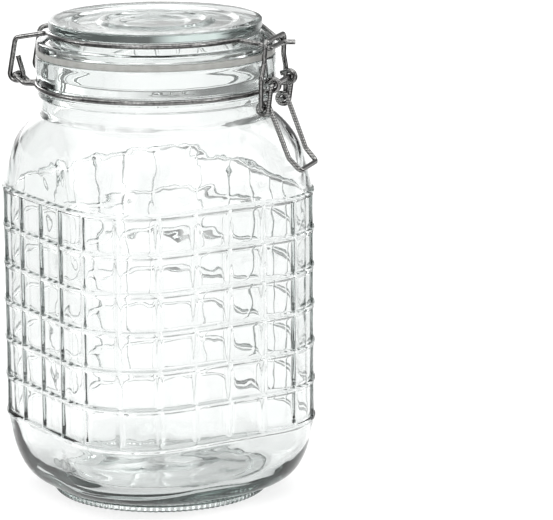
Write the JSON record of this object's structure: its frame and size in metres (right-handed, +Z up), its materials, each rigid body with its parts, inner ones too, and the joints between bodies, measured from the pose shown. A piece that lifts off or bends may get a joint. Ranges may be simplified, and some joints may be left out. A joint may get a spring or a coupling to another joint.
{
  "type": "clip-top glass storage jar",
  "caption": "Square-bodied glass storage jar with a raised lattice, a domed glass lid on a flat sealing ring, a rear wire hinge and an over-centre wire clasp that clamps the lid.",
  "frame": {"origin": "on the jar's vertical axis, in the plane its foot stands on", "axes": "+Z up; the clasp faces -Y and the lid hinge is on the +Y side; all three hinge axes run along X. The square body is turned so that its corners lie about 5 degrees off X and Y."},
  "size_m": [0.1316, 0.1324, 0.1989],
  "materials": {
    "glass": "clear pressed glass, polished",
    "seal": "translucent off-white silicone, satin",
    "wire": "bright drawn steel wire"
  },
  "bodies": {
    "jar": {"jar": "glass", "neck_wire": "wire"},
    "lid": {"lid": "glass", "gasket": "seal", "lid_wire": "wire"},
    "lever": {"lever": "wire"},
    "bail": {"bail": "wire"}
  },
  "joints": [
    {"name": "lid_hinge", "type": "hinge", "parent": "jar", "child": "lid", "pos_m": [0, 0.0561, 0.1749], "axis": [-1, 0, 0], "range_deg": [0, 110]},
    {"name": "lever_pivot", "type": "hinge", "parent": "jar", "child": "lever", "pos_m": [0, -0.0544, 0.1748], "axis": [-1, 0, 0], "range_deg": [0, 135]},
    {"name": "bail_pivot", "type": "hinge", "parent": "lever", "child": "bail", "pos_m": [0, -0.0507, 0.165], "axis": [-1, 0, 0], "range_deg": [-135, 0]}
  ],
  "couplings": [
    {"joint": "bail_pivot", "follows": "lever_pivot", "ratio": -1}
  ]
}
